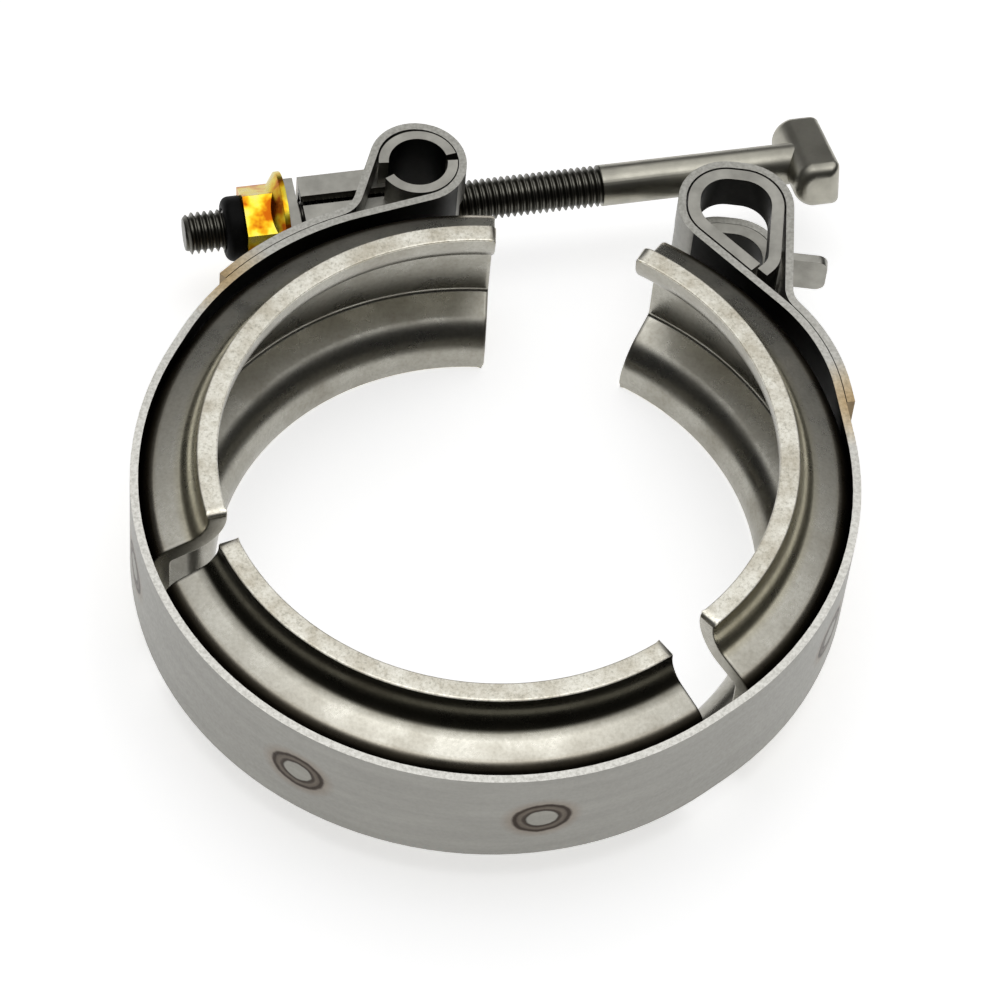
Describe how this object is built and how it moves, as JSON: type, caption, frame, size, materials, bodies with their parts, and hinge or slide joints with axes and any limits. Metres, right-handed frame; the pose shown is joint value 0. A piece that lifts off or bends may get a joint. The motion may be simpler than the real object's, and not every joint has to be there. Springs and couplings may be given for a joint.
{
  "type": "v band clamp",
  "caption": "Open V band pipe clamp: outer strap with V section retainers, looped ends, swinging spacer trunnion, T bolt and lock nut, and a hook trunnion.",
  "frame": {"origin": "on the pipe joint's axis at the strap's mid height, at the centre of the front and left retainers' arcs", "axes": "+Z along the pipe joint's axis, +Y towards the open end with the loops and the bolt, +X to the hook trunnion's side"},
  "size_m": [0.1318, 0.167, 0.0394],
  "materials": {
    "strap_stainless": "matt grey stainless strip, bright at its cut edges",
    "retainer_stainless": "bright rolled stainless with rubbed blotches on the lips",
    "trunnion_steel": "satin stainless sheet",
    "bolt_steel": "dark satin steel, black in the thread",
    "nut_yellow_zinc": "yellow chromated zinc with orange and purple tints",
    "collar_black": "black, semi matt"
  },
  "bodies": {
    "band": {"outer_strap": "strap_stainless", "front_retainer": "retainer_stainless", "left_retainer": "retainer_stainless", "right_retainer": "retainer_stainless", "hook_trunnion": "trunnion_steel"},
    "swing": {"spacer_trunnion": "trunnion_steel"},
    "bolt": {"t_bolt": "bolt_steel"},
    "nut": {"lock_nut": "nut_yellow_zinc", "lock_collar": "collar_black"}
  },
  "joints": [
    {"name": "trunnion_swing", "type": "hinge", "parent": "band", "child": "swing", "pos_m": [-0.01961, 0.0715, 0], "axis": [0, 0, 1], "range_deg": [-2.5, 0.5]},
    {"name": "nut_turn", "type": "hinge", "parent": "swing", "child": "nut", "pos_m": [-0.01924, 0.07025, 0], "axis": [0.959, 0.2833, 0], "range_deg": [-1440, 720]},
    {"name": "bolt_draw", "type": "slide", "parent": "swing", "child": "bolt", "axis": [-0.959, -0.2833, 0], "range_m": [-0.0051, 0.0026]}
  ],
  "couplings": [
    {"joint": "bolt_draw", "follows": "nut_turn", "m_per_rad": 0.00019894}
  ]
}
